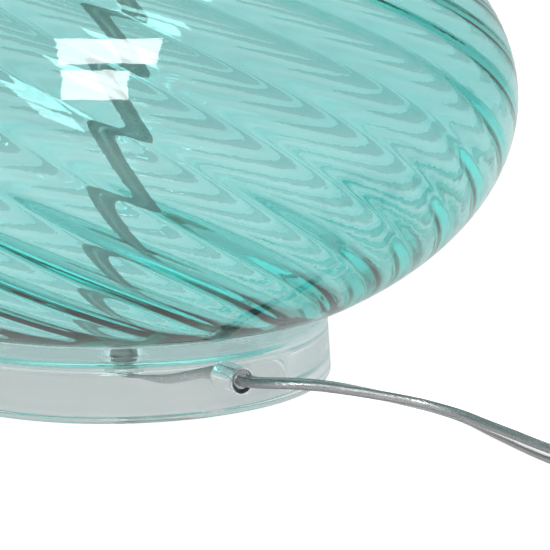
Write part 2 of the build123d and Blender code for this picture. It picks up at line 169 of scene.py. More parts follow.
def mixColour(tree, share, first, second):
    made = addNode(tree, "ShaderNodeMix", {"data_type": "RGBA"})
    for target, value in ((made.inputs[0], share), (made.inputs[6], first), (made.inputs[7], second)):
        linkOrSet(tree, target, value)
    return made.outputs[2]


def noise(tree, place, scale, detail=3.0):
    made = addNode(tree, "ShaderNodeTexNoise", sockets={"Detail": detail})
    tree.links.new(place, made.inputs["Vector"])
    linkOrSet(tree, made.inputs["Scale"], scale)
    return made.outputs[0]


def pieceCoordinates(tree):
    # place in metres on the piece: as a vector, then radius, angle and height about the lamp's axis
    place = addNode(tree, "ShaderNodeTexCoord").outputs["Object"]
    split = addNode(tree, "ShaderNodeSeparateXYZ")
    tree.links.new(place, split.inputs[0])
    x, y, z = split.outputs
    squares = calc(tree, "ADD", calc(tree, "MULTIPLY", x, x), calc(tree, "MULTIPLY", y, y))
    radius = calc(tree, "SQRT", squares)
    return place, radius, calc(tree, "ARCTAN2", y, x), z


def newGroup(name, inputs, outputs):
    tree = bpy.data.node_groups.new(name, "ShaderNodeTree")
    for label, value in inputs.items():
        made = tree.interface.new_socket(name=label, in_out="INPUT", socket_type="NodeSocketFloat")
        made.default_value = value
    for label in outputs:
        tree.interface.new_socket(name=label, in_out="OUTPUT", socket_type="NodeSocketFloat")
    return tree, addNode(tree, "NodeGroupInput").outputs, addNode(tree, "NodeGroupOutput").inputs


def placeGroup(tree, group, **values):
    made = addNode(tree, "ShaderNodeGroup", {"node_tree": group})
    for label, value in values.items():
        linkOrSet(tree, made.inputs[label], value)
    return made.outputs


# ranges and the dust's colour, used by several materials

effects = {
    "toneRange": (0.35, 0.65),  # of a noise, spread over light to dark
    "speckRange": (0.45, 0.8),
    "dustSlope": (0.3, 1.0),  # how far up a face looks
    "dustColour": (0.6, 0.58, 0.55, 1),
    "dustRoughness": 0.4,
    "slub": (15.0, 500.0),  # noise for each metre along and across a thread
    "grainRange": (0.3, 0.7),
    "polishRange": (0.6, 1.4),  # grain and turning marks added up
    "scratchRange": (0.70, 0.78),
}


def fineGrainGroup():
    tree, given, result = newGroup("fineGrain", {"Scale": 300.0}, ["Value"])
    place = pieceCoordinates(tree)[0]
    tree.links.new(noise(tree, place, given["Scale"], 4.0), result["Value"])
    return tree


def turningMarksGroup():
    # rings left by a lathe or a spinning tool
    tree, given, result = newGroup("turningMarks", {"Rings": 4000.0}, ["Height"])
    _, radius, _, height = pieceCoordinates(tree)
    rings = addNode(tree, "ShaderNodeTexNoise", {"noise_dimensions": "1D"}, {"Scale": 1.0, "Detail": 2.0})
    reach = calc(tree, "ADD", radius, height)
    tree.links.new(calc(tree, "MULTIPLY", reach, given["Rings"]), rings.inputs["W"])
    tree.links.new(rings.outputs[0], result["Height"])
    return tree


def edgeWearGroup():
    tree, given, result = newGroup("edgeWear", {"Start": 0.52, "End": 0.62, "Scale": 400.0}, ["Mask"])
    point = addNode(tree, "ShaderNodeNewGeometry").outputs["Pointiness"]
    edge = mapRange(tree, point, given["Start"], given["End"])
    patch = mapRange(tree, noise(tree, pieceCoordinates(tree)[0], given["Scale"]), *effects["toneRange"])
    tree.links.new(calc(tree, "MULTIPLY", edge, patch), result["Mask"])
    return tree


def dustGroup():
    # more dust on what faces up
    tree, given, result = newGroup("dust", {"Amount": 0.2, "Scale": 250.0}, ["Mask"])
    split = addNode(tree, "ShaderNodeSeparateXYZ")
    tree.links.new(addNode(tree, "ShaderNodeNewGeometry").outputs["Normal"], split.inputs[0])
    up = mapRange(tree, split.outputs[2], *effects["dustSlope"])
    spots = noise(tree, pieceCoordinates(tree)[0], given["Scale"], 5.0)
    specks = mapRange(tree, spots, *effects["speckRange"])
    settled = calc(tree, "MULTIPLY", up, specks)
    tree.links.new(calc(tree, "MULTIPLY", settled, given["Amount"]), result["Mask"])
    return tree


def screwThreadGroup():
    tree, given, result = newGroup("screwThread", {"Pitch": 0.001}, ["Height"])
    _, _, angle, height = pieceCoordinates(tree)
    climbed = calc(tree, "DIVIDE", height, given["Pitch"])
    saw = calc(tree, "FRACT", calc(tree, "ADD", climbed, calc(tree, "DIVIDE", angle, 2 * math.pi)))
    tree.links.new(calc(tree, "ABSOLUTE", calc(tree, "MULTIPLY_ADD", saw, 2.0, -1.0)), result["Height"])
    return tree


def linenWeaveGroup():
    # a plain weave laid round the lamp's axis, with slubs along both threads
    tree, given, result = newGroup("linenWeave", {"Threads": 900.0, "Radius": 0.18}, ["Height", "Tone"])
    _, _, angle, height = pieceCoordinates(tree)
    arc = calc(tree, "MULTIPLY", angle, given["Radius"])
    warp, weft = [
        calc(tree, "SINE", calc(tree, "MULTIPLY", calc(tree, "MULTIPLY", way, given["Threads"]), math.pi))
        for way in (arc, height)
    ]
    over = calc(tree, "MULTIPLY_ADD", calc(tree, "MULTIPLY", warp, weft), 0.5, 0.5)
    under = calc(tree, "SUBTRACT", 1.0, over)
    woven = calc(tree, "ADD", calc(tree, "MULTIPLY", calc(tree, "ABSOLUTE", warp), over),
                 calc(tree, "MULTIPLY", calc(tree, "ABSOLUTE", weft), under))
    tree.links.new(woven, result["Height"])
    slubs = []
    for wide, tall in (effects["slub"], effects["slub"][::-1]):
        joined = addNode(tree, "ShaderNodeCombineXYZ")
        tree.links.new(calc(tree, "MULTIPLY", arc, wide), joined.inputs[0])
        tree.links.new(calc(tree, "MULTIPLY", height, tall), joined.inputs[1])
        slubs.append(noise(tree, joined.outputs[0], 1.0, 2.0))
    tone = calc(tree, "MULTIPLY", calc(tree, "ADD", *slubs), 0.5)
    tree.links.new(mapRange(tree, tone, *effects["toneRange"]), result["Tone"])
    return tree


groups = {
    "grain": fineGrainGroup(), "turning": turningMarksGroup(), "wear": edgeWearGroup(),
    "dust": dustGroup(), "thread": screwThreadGroup(), "weave": linenWeaveGroup(),
}
print("shader groups built,", len(groups))


def newMaterial(name):
    material = bpy.data.materials.new(name)
    material.use_nodes = True
    tree = material.node_tree
    shader = tree.nodes["Principled BSDF"]
    return material, tree, shader


def addBump(tree, shader, height, distance, strength=1.0):
    made = addNode(tree, "ShaderNodeBump", sockets={"Strength": strength, "Distance": distance})
    tree.links.new(height, made.inputs["Height"])
    tree.links.new(made.outputs["Normal"], shader.inputs["Normal"])


def wornColour(tree, finish, tone, worn, dusty):
    # from dark to light by a tone, then rubbed at the edges, then dusty
    spread = mapRange(tree, tone, *effects["toneRange"])
    colour = mixColour(tree, spread, (*finish["dark"], 1), (*finish["colour"], 1))
    colour = mixColour(tree, worn, colour, (*finish["worn"], 1))
    return mixColour(tree, dusty, colour, effects["dustColour"])


def metalFinish(name, finish):
    # turned or drawn metal: ring marks, uneven polish, worn edges and a little dust
    material, tree, shader = newMaterial(name)
    grain = placeGroup(tree, groups["grain"], Scale=finish["grain"])["Value"]
    marks = placeGroup(tree, groups["turning"], Rings=finish["rings"])["Height"]
    worn = placeGroup(tree, groups["wear"], Scale=finish["grain"] * 2)["Mask"]
    dusty = placeGroup(tree, groups["dust"], Amount=finish["dust"])["Mask"]
    tree.links.new(wornColour(tree, finish, grain, worn, dusty), shader.inputs["Base Color"])
    shader.inputs["Metallic"].default_value = finish["metallic"]
    rough = mapRange(tree, calc(tree, "ADD", grain, marks), *effects["polishRange"], *finish["roughness"])
    dulled = calc(tree, "ADD", rough, calc(tree, "MULTIPLY", dusty, effects["dustRoughness"]))
    tree.links.new(dulled, shader.inputs["Roughness"])
    relief = marks
    if "pitch" in finish:
        thread = placeGroup(tree, groups["thread"], Pitch=finish["pitch"])["Height"]
        relief = calc(tree, "MULTIPLY_ADD", thread, finish["threadShare"], marks)
    addBump(tree, shader, relief, finish["relief"])
    return material


def mouldedFinish(name, finish):
    # moulded, pressed or rolled stock: fine grain, slight mottling, rubbed edges and dust
    material, tree, shader = newMaterial(name)
    grain = placeGroup(tree, groups["grain"], Scale=finish["grain"])["Value"]
    mottle = placeGroup(tree, groups["grain"], Scale=finish["mottle"])["Value"]
    worn = placeGroup(tree, groups["wear"], Scale=finish["grain"])["Mask"]
    dusty = placeGroup(tree, groups["dust"], Amount=finish["dust"])["Mask"]
    tree.links.new(wornColour(tree, finish, mottle, worn, dusty), shader.inputs["Base Color"])
    rough = mapRange(tree, grain, *effects["grainRange"], *finish["roughness"])
    tree.links.new(rough, shader.inputs["Roughness"])
    shader.inputs["Transmission Weight"].default_value = finish.get("clear", 0.0)
    shader.inputs["IOR"].default_value = finish.get("ior", 1.5)
    shader.inputs["Emission Color"].default_value = (*finish["colour"], 1)
    shader.inputs["Emission Strength"].default_value = finish.get("glow", 0.0)  # painted glow: an emission standing in for daylight let through
    addBump(tree, shader, grain, finish["relief"])
    return material


def clearFinish(name, finish):
    # glass and clear plastics: a tint that deepens with thickness, faint waves, fine scratches
    material, tree, shader = newMaterial(name)
    shader.inputs["Base Color"].default_value = (1, 1, 1, 1)
    shader.inputs["IOR"].default_value = finish["ior"]
    shader.inputs["Transmission Weight"].default_value = 1.0
    waves = placeGroup(tree, groups["grain"], Scale=finish["waves"])["Value"]
    _, radius, angle, height = pieceCoordinates(tree)
    streaks = addNode(tree, "ShaderNodeTexNoise", sockets={"Scale": 1.0, "Detail": 2.0})
    joined = addNode(tree, "ShaderNodeCombineXYZ")
    tree.links.new(calc(tree, "MULTIPLY", angle, finish["scratchAlong"]), joined.inputs[0])
    tree.links.new(calc(tree, "MULTIPLY", height, finish["scratchAcross"]), joined.inputs[1])
    tree.links.new(calc(tree, "MULTIPLY", radius, finish["scratchAcross"]), joined.inputs[2])
    tree.links.new(joined.outputs[0], streaks.inputs["Vector"])
    scratched = mapRange(tree, streaks.outputs[0], *effects["scratchRange"], 0.0, finish["scratched"])
    tree.links.new(calc(tree, "ADD", scratched, finish["roughness"]), shader.inputs["Roughness"])
    surface = calc(tree, "MULTIPLY_ADD", scratched, finish["scratchDepth"], waves)
    addBump(tree, shader, surface, finish["relief"])
    soak = addNode(tree, "ShaderNodeVolumeAbsorption",
                   sockets={"Color": (*finish["tint"], 1), "Density": finish["soak"]})
    tree.links.new(soak.outputs[0], tree.nodes["Material Output"].inputs["Volume"])
    return material


# camera

camera = {
    "place": (0.0, -0.6866, 0.16346),
    "down": 0.1847,
    "right": 0.0799,
    "roll": -0.0038,
    "lens": 126.9,
    "sensor": 36.0,
    "clip": (0.01, 50.0),
}


def addCamera():
    lens = bpy.data.cameras.new("camera")
    lens.lens, lens.sensor_width = camera["lens"], camera["sensor"]
    lens.clip_start, lens.clip_end = camera["clip"]
    made = bpy.data.objects.new("camera", lens)
    turn = Matrix.Rotation(-camera["right"], 4, "Z")
    tip = Matrix.Rotation(math.pi / 2 - camera["down"], 4, "X")
    roll = Matrix.Rotation(camera["roll"], 4, "Z")
    made.matrix_world = Matrix.Translation(camera["place"]) @ turn @ tip @ roll
    scene.collection.objects.link(made)
    scene.camera = made


addCamera()
print("camera placed")

# lead, coil and plug

lead = {
    "route": [
        (0.03894, -0.06429, 0.0119), (0.04153, -0.06857, 0.0119), (0.0455, -0.0726, 0.0126),
        (0.0504, -0.0753, 0.0131), (0.0559, -0.0766, 0.0131), (0.0664, -0.0770, 0.0121),
        (0.0805, -0.0773, 0.0093), (0.0950, -0.0786, 0.0062), (0.1008, -0.0808, 0.0050),
        (0.1058, -0.0845, 0.0041), (0.1097, -0.0894, 0.0036), (0.1131, -0.0979, 0.0034),
        (0.1190, -0.1124, 0.0033), (0.1264, -0.1312, 0.0033), (0.1354, -0.1475, 0.0033),
        (0.1480, -0.1616, 0.0033), (0.1650, -0.1718, 0.0033), (0.1820, -0.1769, 0.0033),
    ],
    "tail": [
        (0.2300, -0.1280, 0.0102), (0.2324, -0.1160, 0.0094), (0.2336, -0.1040, 0.0084),
        (0.2344, -0.0930, 0.00825), (0.2344, -0.0820, 0.00825),
    ],
    "coilCentre": (0.190, -0.134),
    "coilRadii": (0.0400, 0.0292),  # outer and inner turn
    "lowTurns": 3.9,
    "highTurns": 3.35,
    "turnPoints": 16,
    "curveSteps": 8,
    "lowHeight": 0.0033,
    "highHeight": 0.0101,
    "climb": (0.25, 0.5),  # turns before the upper layer where the rise starts, and its length in turns
    "width": 0.0064,
    "thick": 0.0032,
    "coreArc": 2.05,  # radians each way that a core's round side reaches
    "sideSteps": 10,
    # degrees that the wide way has turned from level, at places along the lead in metres
    "twist": ((0.0, 0.0), (0.035, 0.0), (0.075, 35.0), (0.11, 70.0), (0.14, 85.0), (0.2, 90.0), (1.74, 90.0),
              (1.79, 0.0)),
    "length": 1.8,
    "core": 0.0009,
    "coreSides": 28,
    "strands": 7,
    "strandRelief": 0.14,
    "strandPitch": 0.016,
}


def smoothStep(x):
    x = np.clip(x, 0, 1)
    return x * x * (3 - 2 * x)


def coilPoints():
    # the lower layer winds inwards, the upper one back outwards
    turns = lead["lowTurns"] + lead["highTurns"]
    count = int(turns * lead["turnPoints"])
    outer, inner = lead["coilRadii"]
    found = []
    early, rise = lead["climb"]
    for k in range(1, count):
        turn = turns * k / count
        if turn < lead["lowTurns"]:
            share = turn / lead["lowTurns"]
            radius = outer + (inner - outer) * share
        else:
            share = (turn - lead["lowTurns"]) / lead["highTurns"]
            radius = inner + (outer - inner) * share
        climb = smoothStep((turn - lead["lowTurns"] + early) / rise)
        height = lead["lowHeight"] + (lead["highHeight"] - lead["lowHeight"]) * climb
        angle = -math.pi / 2 + 2 * math.pi * turn
        x, y = lead["coilCentre"]
        found.append((x + radius * math.cos(angle), y + radius * math.sin(angle), height))
    return found


def routeLine(points):
    # the smooth line of a curve with these control points
    curve = bpy.data.curves.new("leadRoute", "CURVE")
    curve.dimensions = "3D"
    curve.resolution_u = lead["curveSteps"]
    spline = curve.splines.new("NURBS")
    spline.points.add(len(points) - 1)
    for point, place in zip(spline.points, points):
        point.co = (*place, 1)
    spline.order_u = 3
    spline.use_endpoint_u = True
    route = bpy.data.objects.new("leadRoute", curve)
    mesh = bpy.data.meshes.new_from_object(route)
    line = np.array([v.co for v in mesh.vertices], float)
    bpy.data.objects.remove(route)
    bpy.data.curves.remove(curve)
    bpy.data.meshes.remove(mesh)
    return line


leadLine = routeLine(lead["route"] + coilPoints() + lead["tail"])
print("lead route,", len(leadLine), "points")


def leadFrames(line):
    # along, across the wide way and across the narrow way, at each point
    along = np.gradient(line, axis=0)
    along /= np.linalg.norm(along, axis=1)[:, None]
    level = np.cross(along, (0, 0, 1))
    level /= np.linalg.norm(level, axis=1)[:, None]
    upright = np.cross(level, along)
    run = np.concatenate([[0], np.cumsum(np.linalg.norm(np.diff(line, axis=0), axis=1))])
    places, angles = zip(*lead["twist"])
    turn = np.radians(np.interp(run, places, angles))[:, None]
    wide = level * np.cos(turn) + upright * np.sin(turn)
    narrow = np.cross(along, wide)
    return wide, narrow, run


def sweptMesh(name, line, wide, narrow, section):
    rows = line[:, None] + wide[:, None] * section[None, :, :1] + narrow[:, None] * section[None, :, 1:]
    return gridMesh(name, rows, angle=meshing["fineAngle"], capEnds=True)


def twinSection():
    # two round cores side by side with a shallow groove between them
    core = lead["thick"] / 2
    offset = lead["width"] / 2 - core
    angles = np.linspace(-lead["coreArc"], lead["coreArc"], lead["sideSteps"])
    right = [(offset + core * math.cos(a), core * math.sin(a)) for a in angles]
    left = [(-x, y) for x, y in reversed(right)]
    return np.array(right + left)


leadWide, leadNarrow, leadRun = leadFrames(leadLine)


def coreMesh(name, side):
    # a bunch of strands twisted together, inside one half of the lead
    offset = side * (lead["width"] - lead["thick"]) / 2
    middle = leadLine + leadWide * offset
    around = turnAngles(lead["coreSides"])
    lay = around[None, :] + leadRun[:, None] * 2 * math.pi / lead["strandPitch"]
    lobes = np.abs(np.cos(lead["strands"] / 2 * around))[None, :]
    radius = lead["core"] * (1 + lead["strandRelief"] * lobes)
    rows = (middle[:, None] + leadWide[:, None] * (radius * np.cos(lay))[..., None]
            + leadNarrow[:, None] * (radius * np.sin(lay))[..., None])
    return gridMesh(name, rows, angle=meshing["fineAngle"], capEnds=True)


pvcMaterial = clearFinish("clearPvc", {
    "ior": 1.45, "waves": 900.0, "scratchAlong": 30.0, "scratchAcross": 2500.0, "scratched": 0.25,
    "scratchDepth": 0.3, "roughness": 0.06, "relief": 0.00002, "tint": (0.30, 0.45, 0.42), "soak": 60.0,
})
strandMaterial = metalFinish("tinnedStrands", {
    "grain": 2500.0, "rings": 9000.0, "dust": 0.0, "colour": (0.56, 0.54, 0.55), "dark": (0.30, 0.30, 0.31),
    "worn": (0.7, 0.68, 0.68), "metallic": 0.9, "roughness": (0.28, 0.5), "relief": 0.00002,
})
leadMesh = sweptMesh("lead", leadLine, leadWide, leadNarrow, twinSection())
leadPiece = newPiece("lead", leadMesh, pvcMaterial, "lamp")
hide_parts("cord_run", "cord_coil", "cord_tail")
for coreName, coreSide in (("leadCoreLeft", -1), ("leadCoreRight", 1)):
    newPiece(coreName, coreMesh(coreName, coreSide), strandMaterial, "lamp")
print("lead,", round(float(leadRun[-1]), 3), "m long")

# glass body

glass = {
    "radius": 0.140,
    "halfHeight": 0.0881,
    "equator": 0.0994,
    "wall": 0.0032,
    "bottom": 0.02615,
    "heelTop": 0.0281,
    "heel": 0.073,
    "floorTop": 0.0311,
    "cornerRise": 0.0025,
    "cornerRun": 0.008,
    "floorHole": 0.008,
    "mouth": 0.020,
    "lip": 0.1854,
    "ribs": 25,
    "ribStart": -22.98,  # degrees round from the front, 95 mm up
    "ribLevel": 0.095,
    "ribStep": 0.050,
    "ribTurn": (-37.4, -2.4, -7.1),  # degrees for each step up, its square and its cube
    # depth of the ribs at a height
    "ribDepth": ((0.030, 0.0020), (0.050, 0.0017), (0.080, 0.00115), (0.110, 0.00095), (0.150, 0.0009),
                 (0.180, 0.0009)),
    "floorFade": (0.0005, 0.006),  # where the ribs start above the inner floor, and over what rise
    "mouthFade": (0.004, 0.008),  # the same down from the lip
    "floorZone": 0.05,  # the floor's fade holds below this height, the mouth's above it
    "ridgeSoft": 0.16,
    "ridgeCrowd": 1.4,
    "ribColumns": 20,
    "twistLow": 0.034,
    "twistHigh": 0.182,
    "swirlStart": 0.080,
    "swirl": 8.0,
    "innerRows": 120,
    "outerRows": 60,
    "arcSteps": 400,
    "heelSteps": 12,
    "heelPull": 0.75,
    "cornerSteps": 30,
    "edge": 0.001,
    "lipSoft": 0.0006,
    "innerTop": 0.003,  # the inner wall ends this far below the lip
    "floorLift": 0.0002,
    "floorRings": (0.030, 0.055),
    "absorb": 125.0,  # for each metre of glass
    "absorbColour": (0.0, 0.90, 0.87),
}


def ellipseArc(radius, halfHeight, low, high, rows):
    # part of the upright ellipse, from a lower to a higher height
    first = math.asin((low - glass["equator"]) / halfHeight)
    last = math.asin((high - glass["equator"]) / halfHeight)
    t = np.linspace(first, last, rows)
    return np.stack([radius * np.cos(t), glass["equator"] + halfHeight * np.sin(t)], -1)


def evenRows(outline, rows):
    run = np.concatenate([[0], np.cumsum(np.linalg.norm(np.diff(outline, axis=0), axis=1))])
    at = np.linspace(0, run[-1], rows)
    return np.stack([np.interp(at, run, outline[:, k]) for k in (0, 1)], -1)


def bentLine(start, bend, end, steps):
    # a smooth bend from start to end, pulled towards a third point
    t = np.linspace(0, 1, steps)[:, None]
    return (1 - t) ** 2 * np.array(start) + 2 * t * (1 - t) * np.array(bend) + t * t * np.array(end)


def blownGlass():
    # the outer line from the heel to the lip, and the inner one from the floor's hole to the lip
    inset = glass["wall"]
    low, high = glass["heelTop"], glass["lip"] - glass["lipSoft"]
    outer = ellipseArc(glass["radius"], glass["halfHeight"], low, high, glass["arcSteps"])
    start = outer[0]
    slope = (outer[1] - outer[0]) / np.linalg.norm(outer[1] - outer[0])
    bend = start - slope * (start[1] - glass["bottom"]) / slope[1] * glass["heelPull"]
    heel = bentLine(start, bend, (glass["heel"], glass["bottom"]), glass["heelSteps"])[1:]
    outer = evenRows(np.concatenate([heel[::-1], outer]), glass["outerRows"])
    floor = glass["floorTop"]
    low, high = floor + glass["floorLift"], glass["lip"] - glass["innerTop"]
    inner = ellipseArc(glass["radius"] - inset, glass["halfHeight"] - inset, low, high, glass["arcSteps"])
    wallPart = inner[inner[:, 1] > floor + glass["cornerRise"]]
    floorEdge = (wallPart[0][0] - glass["cornerRun"], floor)
    corner = (inner[0][0] - glass["edge"], floor + glass["floorLift"])
    blend = bentLine(floorEdge, corner, wallPart[0], glass["cornerSteps"])[:-1]
    across = np.linspace(glass["floorHole"] + glass["edge"], floorEdge[0], glass["cornerSteps"])[:-1]
    flat = np.stack([across, np.full(len(across), floor)], -1)
    inner = evenRows(np.concatenate([flat, blend, wallPart]), glass["innerRows"])
    return outer, inner


def ribAngle(place):
    # how far the ribs have turned at each place on the wall, given as radius and height
    radius, height = place[:, 0], np.clip(place[:, 1], glass["twistLow"], glass["twistHigh"])
    u = (height - glass["ribLevel"]) / glass["ribStep"]
    a, b, c = glass["ribTurn"]
    turned = math.radians(glass["ribStart"]) + np.radians(a * u + b * u**2 + c * u**3)
    onFloor = place[:, 1] < glass["twistLow"]
    return turned + np.where(onFloor, np.maximum(0, glass["swirlStart"] - radius) * glass["swirl"], 0)


def ribColumns():
    # angles and heights of the columns over all ribs, closer together on the ridges
    half = glass["ribColumns"] // 2
    t = np.arange(-half, half) / half
    x = np.sign(t) * np.abs(t) ** glass["ridgeCrowd"]
    soft = glass["ridgeSoft"]
    away = (np.sqrt(x * x + soft * soft) - soft) / (math.sqrt(1 + soft * soft) - soft)
    ridge = (1 - away) ** 2
    pitch = 2 * math.pi / glass["ribs"]
    spin = np.concatenate([pitch * (k + x / 2) for k in range(glass["ribs"])])
    ridge = np.tile(ridge, glass["ribs"])
    return spin, ridge - 1 / 3


def glassRows(line, spin, lift=None):
    # lift is how far each point stands in from the line, towards the hollow
    angle = spin[None, :] + ribAngle(line)[:, None]
    r, z = line[:, :1] + np.zeros_like(angle), line[:, 1:] + np.zeros_like(angle)
    if lift is not None:
        along = np.gradient(line, axis=0)
        along /= np.linalg.norm(along, axis=1)[:, None]
        r, z = r - along[:, 1:] * lift, z + along[:, :1] * lift
    return np.stack([r * np.sin(angle), -r * np.cos(angle), z], -1)


def glassMesh():
    outer, inner = blownGlass()
    spin, ridge = ribColumns()
    heights, depths = zip(*glass["ribDepth"])
    depth = np.interp(inner[:, 1], heights, depths)
    start, rise = glass["floorFade"]
    floorShare = smoothStep((inner[:, 1] - glass["floorTop"] - start) / rise)
    start, rise = glass["mouthFade"]
    mouthShare = smoothStep((glass["lip"] - start - inner[:, 1]) / rise)
    depth = depth * np.where(inner[:, 1] < glass["floorZone"], floorShare, mouthShare)
    lip, mouth, hole, bottom = glass["lip"], glass["mouth"], glass["floorHole"], glass["bottom"]
    soft, edge = glass["lipSoft"], glass["edge"]
    lipLine = np.array([(outer[-1][0] - soft, lip), ((outer[-1][0] + mouth) / 2, lip),
                        (mouth + soft, lip), (mouth, lip - soft)])
    floorLine = np.array([(hole, glass["floorTop"] - edge), (hole, bottom + edge), (hole + edge, bottom)]
                         + [(r, bottom) for r in glass["floorRings"]])
    outerRows = glassRows(np.concatenate([floorLine, outer, lipLine]), spin)
    innerRows = glassRows(inner, spin, depth[:, None] * ridge[None, :])
    rows = np.concatenate([outerRows, innerRows[::-1]])
    return gridMesh("glass", rows, closeRows=True, angle=meshing["fineAngle"])


tealGlass = clearFinish("tealGlass", {
    "ior": 1.5, "waves": 90.0, "scratchAlong": 25.0, "scratchAcross": 1500.0, "scratched": 0.02,
    "scratchDepth": 0.1, "roughness": 0.0, "relief": 0.00006,
    "tint": glass["absorbColour"], "soak": glass["absorb"],
})
glassPiece = newPiece("glassBody", glassMesh(), tealGlass, "lamp")
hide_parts("glass_body")
print("glass body,", len(glassPiece.data.polygons), "faces")

# clear base

base = {
    "foot": 0.075,
    "top": 0.0735,
    "height": 0.02535,
    "plate": 0.0178,
    "cavity": 0.060,
    "rounds": (0.0025, 0.0006, 0.005),
    "pipeHole": 0.0052,
    "bushingHole": 0.00475,
    "bushingAngle": 31.2,
    "bushingHeight": 0.0112,
    "turns": 360,
    "roundSteps": 8,
    "outlineStep": 0.0025,
    "boreRound": 0.0003,
    "rimRound": 0.0006,
    "boreReach": (0.03, 0.09),
    "boreSides": 96,
    "smoothAngle": 40.0,
}
clearAcrylic = clearFinish("clearAcrylic", {
    "ior": 1.49, "waves": 60.0, "scratchAlong": 9.0, "scratchAcross": 2200.0, "scratched": 0.22,
    "scratchDepth": 0.4, "roughness": 0.0, "relief": 0.00003, "tint": (0.0, 0.68, 0.66), "soak": 3.5,
})


def baseMesh():
    foot, top, cavity = base["rounds"]
    corners = [(base["foot"], 0), (base["top"], base["height"]), (base["pipeHole"], base["height"]),
               (base["pipeHole"], base["plate"]), (base["cavity"], base["plate"]), (base["cavity"], 0)]
    rounds = [foot, top, base["boreRound"], base["boreRound"], cavity, base["rimRound"]]
    outline = roundedOutline(corners, rounds, base["roundSteps"])
    fine = []
    for a, b in zip(outline, np.roll(outline, -1, axis=0)):
        count = max(1, int(np.linalg.norm(b - a) / base["outlineStep"]))
        fine += [a + (b - a) * k / count for k in range(count)]
    return latheMesh("base", fine, base["turns"], angle=meshing["fineAngle"])


def boringTool():
    angle = math.radians(base["bushingAngle"])
    outward = Vector((math.sin(angle), -math.cos(angle), 0))
    near, far = base["boreReach"]
    outline = [(0, near), (base["bushingHole"], near), (base["bushingHole"], far), (0, far)]
    mesh = latheMesh("bore", outline, base["boreSides"], closed=False)
    aim = outward.to_track_quat("Z", "Y").to_matrix().to_4x4()
    mesh.transform(Matrix.Translation((0, 0, base["bushingHeight"])) @ aim)
    tool = bpy.data.objects.new("bore", mesh)
    scene.collection.objects.link(tool)
    return tool


def boreBase(piece):
    # the hole for the cord bushing
    tool = boringTool()
    cut = piece.modifiers.new("bore", "BOOLEAN")
    cut.operation, cut.solver, cut.object = "DIFFERENCE", "EXACT", tool
    bpy.context.view_layer.update()
    cutPiece = piece.evaluated_get(bpy.context.evaluated_depsgraph_get())
    bored = bpy.data.meshes.new_from_object(cutPiece)
    piece.modifiers.clear()
    piece.data = bored
    shadeSmooth(bored, base["smoothAngle"])
    bpy.data.objects.remove(tool)


basePiece = newPiece("clearBase", baseMesh(), clearAcrylic, "lamp")
boreBase(basePiece)
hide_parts("clear_base")
print("clear base,", len(basePiece.data.polygons), "faces")

# shade cloth, its folded edges and its glued seam

shade = {
    "bottomRadius": 0.190,
    "topRadius": 0.165,
    "height": 0.230,
    "cloth": 0.0007,
    "hem": 0.009,
    "hemThick": 0.0005,
    "seam": 0.011,
    "seamLift": 0.0005,
    "seamRamp": 0.002,
    "hemRound": 0.0002,
    "sag": 0.0002,  # how far the cloth is pulled in halfway up
    "sagUneven": 0.25,
    "rows": 48,
    "turns": 360,
    "smoothAngle": 50.0,
}


def shadeRadius(share):
    return shade["bottomRadius"] + (shade["topRadius"] - shade["bottomRadius"]) * share


def shadeClothMesh(low):
    spin = turnAngles(shade["turns"])
    share = np.linspace(0, 1, shade["rows"])
    uneven = 1 - shade["sagUneven"] * np.sin(2 * math.pi * share)
    pulled = shade["sag"] * np.sin(share * math.pi) * uneven
    outer = (shadeRadius(share) - pulled)[:, None] + np.zeros(shade["turns"])
    away = np.abs((spin - math.pi)) * shade["bottomRadius"]
    outer = outer + shade["seamLift"] * smoothStep((shade["seam"] / 2 - away) / shade["seamRamp"] + 0.5)
    inner = (shadeRadius(share) - pulled - shade["cloth"])[:, None] + np.zeros(shade["turns"])
    rows = []
    for radius, shares in ((outer, share), (inner[::-1], share[::-1])):
        height = low + shares * shade["height"]
        level = height[:, None] + np.zeros_like(radius)
        rows.append(np.stack([radius * np.sin(spin), -radius * np.cos(spin), level], -1))
    return gridMesh("shadeCloth", np.concatenate(rows), closeRows=True, angle=shade["smoothAngle"])


def shadeHemMesh(name, low, first, last):
    # a strip of the same cloth, folded over the edge
    start, end = low + first * shade["height"], low + last * shade["height"]
    corners = [(shadeRadius(first), start), (shadeRadius(first) + shade["hemThick"], start),
               (shadeRadius(last) + shade["hemThick"], end), (shadeRadius(last), end)]
    outline = roundedOutline(corners, [shade["hemRound"]] * 4, 3)
    return latheMesh(name, outline, shade["turns"], angle=shade["smoothAngle"])


linenCloth = {
    "threads": 1100.0,  # for each metre
    "radius": 0.18,  # at which the weave is laid round the axis
    "dust": 0.1,
    "dark": (0.50, 0.47, 0.42, 1),
    "light": (0.66, 0.63, 0.57, 1),
    # painted shade: the colour that the low places between the threads are darkened towards
    "gapShade": (0.40, 0.37, 0.32, 1),
    "gapShadeShare": 0.8,
    "roughness": (0.75, 0.95),
    "sheen": 0.15,
    "relief": 0.00025,
}


def linenFinish():
    material, tree, shader = newMaterial("shadeLinen")
    woven = placeGroup(tree, groups["weave"], Threads=linenCloth["threads"], Radius=linenCloth["radius"])
    dusty = placeGroup(tree, groups["dust"], Amount=linenCloth["dust"])["Mask"]
    tone = mixColour(tree, woven["Tone"], linenCloth["dark"], linenCloth["light"])
    # painted shade: darker where the threads dip, between them
    raised = calc(tree, "MULTIPLY", woven["Height"], linenCloth["gapShadeShare"])
    cloth = mixColour(tree, raised, linenCloth["gapShade"], tone)
    tree.links.new(mixColour(tree, dusty, cloth, effects["dustColour"]), shader.inputs["Base Color"])
    rough = mapRange(tree, woven["Tone"], 0.0, 1.0, *linenCloth["roughness"])
    tree.links.new(rough, shader.inputs["Roughness"])
    shader.inputs["Sheen Weight"].default_value = linenCloth["sheen"]
    addBump(tree, shader, woven["Height"], linenCloth["relief"])
    return material


